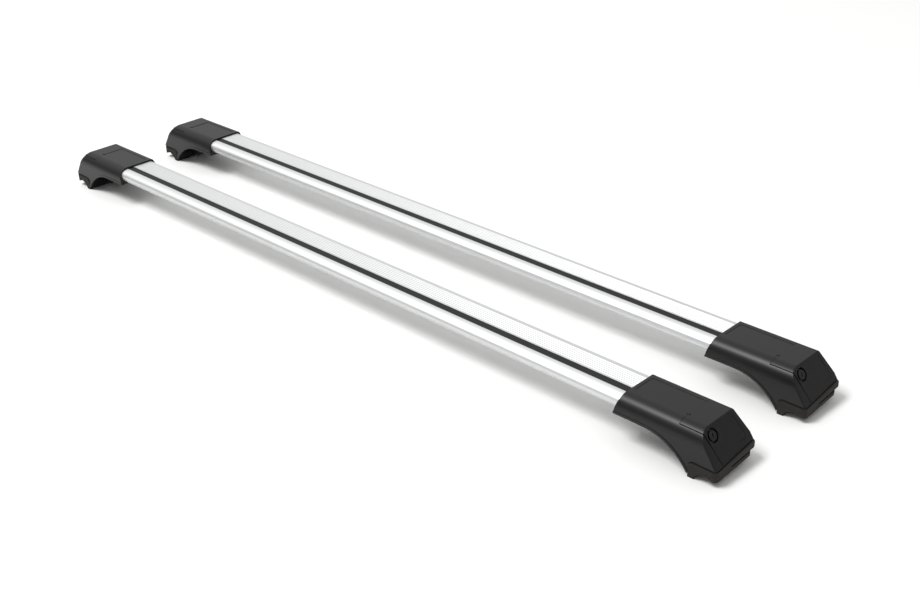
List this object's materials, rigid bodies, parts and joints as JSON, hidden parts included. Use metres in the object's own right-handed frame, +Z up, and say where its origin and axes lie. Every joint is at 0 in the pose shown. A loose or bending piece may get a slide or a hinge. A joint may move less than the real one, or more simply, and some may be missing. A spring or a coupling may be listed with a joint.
{
  "type": "pair of roof crossbars",
  "caption": "Pair of aluminium roof crossbars with arched black feet, locking end covers, rubber strips and rail clamps.",
  "frame": {"origin": "on the floor, under the middle of the pair's bounding box", "axes": "+X along the bars, +Y from the front bar to the rear bar with both rounded noses facing -Y, +Z up"},
  "size_m": [1.201, 0.235, 0.0564],
  "materials": {
    "bar_aluminium": "silver anodised extrusion with fine lengthwise grooves",
    "strip_rubber": "smooth matt black rubber",
    "foot_plastic": "finely grained black nylon",
    "cover_plastic": "finely grained black nylon",
    "lock_black": "black lacquered zinc casting",
    "pad_rubber": "soft dark grey rubber",
    "cast_aluminium": "plain die casting",
    "zinc_steel": "zinc plated steel"
  },
  "bodies": {
    "bars": {"front_bar": "bar_aluminium", "front_slot_strip": "strip_rubber", "rear_bar": "bar_aluminium", "rear_slot_strip": "strip_rubber", "front_left_housing": "foot_plastic", "front_left_bracket": "cast_aluminium", "front_left_rail_pad": "pad_rubber", "front_left_barrel_nut": "zinc_steel", "front_left_fixing_screws": "zinc_steel", "front_right_housing": "foot_plastic", "front_right_bracket": "cast_aluminium", "front_right_rail_pad": "pad_rubber", "front_right_barrel_nut": "zinc_steel", "front_right_fixing_screws": "zinc_steel", "rear_left_housing": "foot_plastic", "rear_left_bracket": "cast_aluminium", "rear_left_rail_pad": "pad_rubber", "rear_left_barrel_nut": "zinc_steel", "rear_left_fixing_screws": "zinc_steel", "rear_right_housing": "foot_plastic", "rear_right_bracket": "cast_aluminium", "rear_right_rail_pad": "pad_rubber", "rear_right_barrel_nut": "zinc_steel", "rear_right_fixing_screws": "zinc_steel"},
    "front_left_cover": {"front_left_end_cover": "cover_plastic", "front_left_lock_body": "lock_black"},
    "front_left_lock": {"front_left_lock_plug": "lock_black"},
    "front_left_jaw": {"front_left_clamp_jaw": "zinc_steel", "front_left_jaw_lining": "pad_rubber", "front_left_clamp_washer": "zinc_steel"},
    "front_left_screw": {"front_left_clamp_screw": "zinc_steel"},
    "front_right_cover": {"front_right_end_cover": "cover_plastic", "front_right_lock_body": "lock_black"},
    "front_right_lock": {"front_right_lock_plug": "lock_black"},
    "front_right_jaw": {"front_right_clamp_jaw": "zinc_steel", "front_right_jaw_lining": "pad_rubber", "front_right_clamp_washer": "zinc_steel"},
    "front_right_screw": {"front_right_clamp_screw": "zinc_steel"},
    "rear_left_cover": {"rear_left_end_cover": "cover_plastic", "rear_left_lock_body": "lock_black"},
    "rear_left_lock": {"rear_left_lock_plug": "lock_black"},
    "rear_left_jaw": {"rear_left_clamp_jaw": "zinc_steel", "rear_left_jaw_lining": "pad_rubber", "rear_left_clamp_washer": "zinc_steel"},
    "rear_left_screw": {"rear_left_clamp_screw": "zinc_steel"},
    "rear_right_cover": {"rear_right_end_cover": "cover_plastic", "rear_right_lock_body": "lock_black"},
    "rear_right_lock": {"rear_right_lock_plug": "lock_black"},
    "rear_right_jaw": {"rear_right_clamp_jaw": "zinc_steel", "rear_right_jaw_lining": "pad_rubber", "rear_right_clamp_washer": "zinc_steel"},
    "rear_right_screw": {"rear_right_clamp_screw": "zinc_steel"}
  },
  "joints": [
    {"name": "front_left_cover_slide", "type": "slide", "parent": "bars", "child": "front_left_cover", "axis": [-1, 0, 0], "range_m": [0, 0.05]},
    {"name": "front_left_lock_turn", "type": "hinge", "parent": "front_left_cover", "child": "front_left_lock", "pos_m": [-0.58106, -0.0988, 0.0473], "axis": [-0.8308, 0, 0.5566], "range_deg": [0, 90]},
    {"name": "front_left_jaw_slide", "type": "slide", "parent": "bars", "child": "front_left_jaw", "axis": [1, 0, 0], "range_m": [0, 0.0065]},
    {"name": "front_left_screw_turn", "type": "hinge", "parent": "front_left_jaw", "child": "front_left_screw", "pos_m": [-0.5806, -0.0805, 0.027], "axis": [1, 0, 0], "range_deg": [0, 2340]},
    {"name": "front_right_cover_slide", "type": "slide", "parent": "bars", "child": "front_right_cover", "axis": [1, 0, 0], "range_m": [0, 0.05]},
    {"name": "front_right_lock_turn", "type": "hinge", "parent": "front_right_cover", "child": "front_right_lock", "pos_m": [0.57706, -0.0988, 0.0473], "axis": [-0.8308, 0, -0.5566], "range_deg": [0, 90]},
    {"name": "front_right_jaw_slide", "type": "slide", "parent": "bars", "child": "front_right_jaw", "axis": [-1, 0, 0], "range_m": [0, 0.0065]},
    {"name": "front_right_screw_turn", "type": "hinge", "parent": "front_right_jaw", "child": "front_right_screw", "pos_m": [0.5766, -0.0805, 0.027], "axis": [-1, 0, 0], "range_deg": [0, 2340]},
    {"name": "rear_left_cover_slide", "type": "slide", "parent": "bars", "child": "rear_left_cover", "axis": [-1, 0, 0], "range_m": [0, 0.05]},
    {"name": "rear_left_lock_turn", "type": "hinge", "parent": "rear_left_cover", "child": "rear_left_lock", "pos_m": [-0.57706, 0.0622, 0.0473], "axis": [-0.8308, 0, 0.5566], "range_deg": [0, 90]},
    {"name": "rear_left_jaw_slide", "type": "slide", "parent": "bars", "child": "rear_left_jaw", "axis": [1, 0, 0], "range_m": [0, 0.0065]},
    {"name": "rear_left_screw_turn", "type": "hinge", "parent": "rear_left_jaw", "child": "rear_left_screw", "pos_m": [-0.5766, 0.0805, 0.027], "axis": [1, 0, 0], "range_deg": [0, 2340]},
    {"name": "rear_right_cover_slide", "type": "slide", "parent": "bars", "child": "rear_right_cover", "axis": [1, 0, 0], "range_m": [0, 0.05]},
    {"name": "rear_right_lock_turn", "type": "hinge", "parent": "rear_right_cover", "child": "rear_right_lock", "pos_m": [0.58106, 0.0622, 0.0473], "axis": [-0.8308, 0, -0.5566], "range_deg": [0, 90]},
    {"name": "rear_right_jaw_slide", "type": "slide", "parent": "bars", "child": "rear_right_jaw", "axis": [-1, 0, 0], "range_m": [0, 0.0065]},
    {"name": "rear_right_screw_turn", "type": "hinge", "parent": "rear_right_jaw", "child": "rear_right_screw", "pos_m": [0.5806, 0.0805, 0.027], "axis": [-1, 0, 0], "range_deg": [0, 2340]}
  ],
  "couplings": [
    {"joint": "front_left_screw_turn", "follows": "front_left_jaw_slide", "rad_per_m": 6283.2},
    {"joint": "front_right_screw_turn", "follows": "front_right_jaw_slide", "rad_per_m": 6283.2},
    {"joint": "rear_left_screw_turn", "follows": "rear_left_jaw_slide", "rad_per_m": 6283.2},
    {"joint": "rear_right_screw_turn", "follows": "rear_right_jaw_slide", "rad_per_m": 6283.2}
  ]
}
